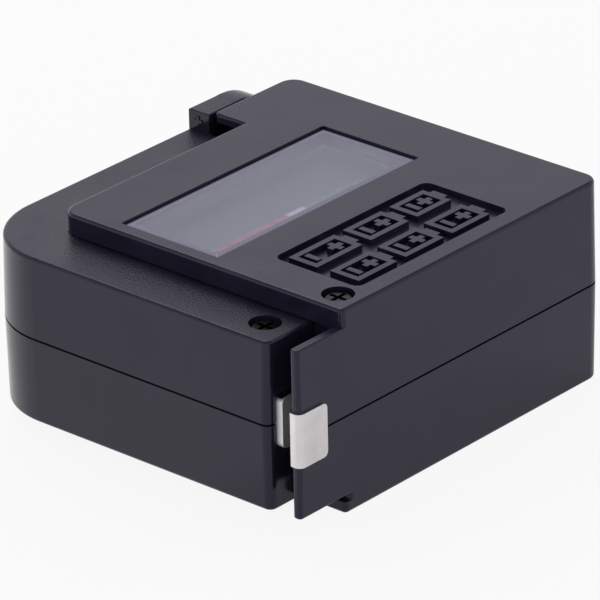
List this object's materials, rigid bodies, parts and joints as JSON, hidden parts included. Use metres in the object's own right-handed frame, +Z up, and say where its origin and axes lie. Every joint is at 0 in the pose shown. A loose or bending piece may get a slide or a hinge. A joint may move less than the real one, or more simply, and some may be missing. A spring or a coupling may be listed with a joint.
{
  "type": "battery tester",
  "caption": "Pocket battery tester with a pointer meter under a window, a fixed jaw and an L-shaped slider that grips a cell between two contacts.",
  "frame": {"origin": "under the middle of the closed tester, on the surface it rests on", "axes": "+X to the right of the person reading the meter, +Y away from them along the slider's travel, +Z up"},
  "size_m": [0.0636, 0.0608, 0.0299],
  "materials": {
    "case_plastic": "satin moulded",
    "slider_plastic": "fine grained",
    "clear_lens": "polished",
    "scale_print": "printed",
    "contact_metal": "nickel plated, satin",
    "screw_steel": "blackened",
    "spring_brass": "plain",
    "board": "lacquered",
    "resistor_body": "lacquered",
    "inner_plastic": "plain",
    "soft_iron": "plain",
    "magnet": "sintered",
    "bridge_metal": "stamped",
    "coil_wire": "enamelled copper",
    "needle_paint": "painted"
  },
  "bodies": {
    "case": {"upper_case": "case_plastic", "lower_case": "case_plastic", "case_screw": "screw_steel", "window_lens": "clear_lens", "scale_plate": "scale_print", "jaw_contact": "contact_metal", "wiper_spring": "spring_brass", "side_contacts": "contact_metal", "circuit_board": "board", "resistors": "resistor_body", "movement_frame": "inner_plastic", "magnet_yoke": "soft_iron", "core_magnet": "magnet", "movement_bridge": "bridge_metal", "bearing_screws": "spring_brass"},
    "slider": {"slider_upper_shell": "slider_plastic", "slider_lower_shell": "slider_plastic", "slider_screw": "screw_steel", "slider_contact": "contact_metal", "slide_rail": "inner_plastic", "rail_contact_strip": "spring_brass", "rail_stop_pin": "screw_steel"},
    "needle_group": {"moving_coil": "coil_wire", "pivot_staffs": "screw_steel", "pointer": "needle_paint", "hairspring": "spring_brass"}
  },
  "joints": [
    {"name": "slider_slide", "type": "slide", "parent": "case", "child": "slider", "axis": [0, 1, 0], "range_m": [0, 0.0485]},
    {"name": "pointer_swing", "type": "hinge", "parent": "case", "child": "needle_group", "pos_m": [0.0004, -0.01457, 0], "axis": [0, 0, -1], "range_deg": [0, 100], "stiffness_Nm_per_rad": 0.00002, "deforming": ["hairspring"]}
  ]
}
